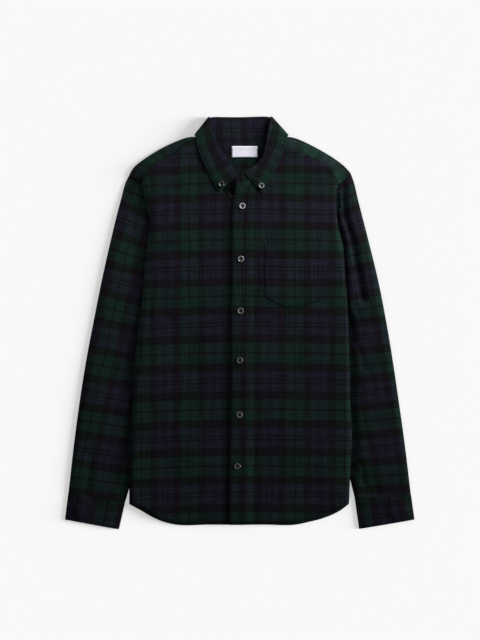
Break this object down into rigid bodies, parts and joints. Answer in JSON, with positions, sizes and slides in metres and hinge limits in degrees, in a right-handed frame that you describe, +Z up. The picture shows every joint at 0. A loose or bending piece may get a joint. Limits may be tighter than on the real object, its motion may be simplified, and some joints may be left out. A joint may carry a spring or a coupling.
{
  "type": "long-sleeve button-down shirt laid flat",
  "caption": "Long-sleeve tartan twill shirt laid flat on its back, with a button-down collar, a buttoned front placket, a chest pocket and buttoned barrel cuffs.",
  "frame": {"origin": "middle of the overall outline, on the surface the shirt lies on", "axes": "+X to the viewer's right looking down on the front, +Y from the hem to the collar, +Z up out of the surface"},
  "size_m": [0.6804, 0.8056, 0.0091],
  "materials": {
    "tartan_cloth": "brushed cotton twill woven in a dark green, navy and black tartan, matte",
    "label_cloth": "pale woven label, bare",
    "smoked_button": "smoked pearl resin, glossy"
  },
  "bodies": {
    "root": {"back": "tartan_cloth", "yoke": "tartan_cloth", "front_left": "tartan_cloth", "front_right": "tartan_cloth", "placket": "tartan_cloth", "pocket": "tartan_cloth", "collar_stand": "tartan_cloth", "collar_leaf": "tartan_cloth", "sleeve_left": "tartan_cloth", "sleeve_right": "tartan_cloth", "cuff_left": "tartan_cloth", "cuff_right": "tartan_cloth", "neck_label": "label_cloth", "button_collar_left": "smoked_button", "button_collar_right": "smoked_button", "button_cuff_left": "smoked_button", "button_cuff_right": "smoked_button", "button_front_1": "smoked_button", "button_front_2": "smoked_button", "button_front_3": "smoked_button", "button_front_4": "smoked_button", "button_front_5": "smoked_button", "button_front_6": "smoked_button"}
  },
  "joints": []
}
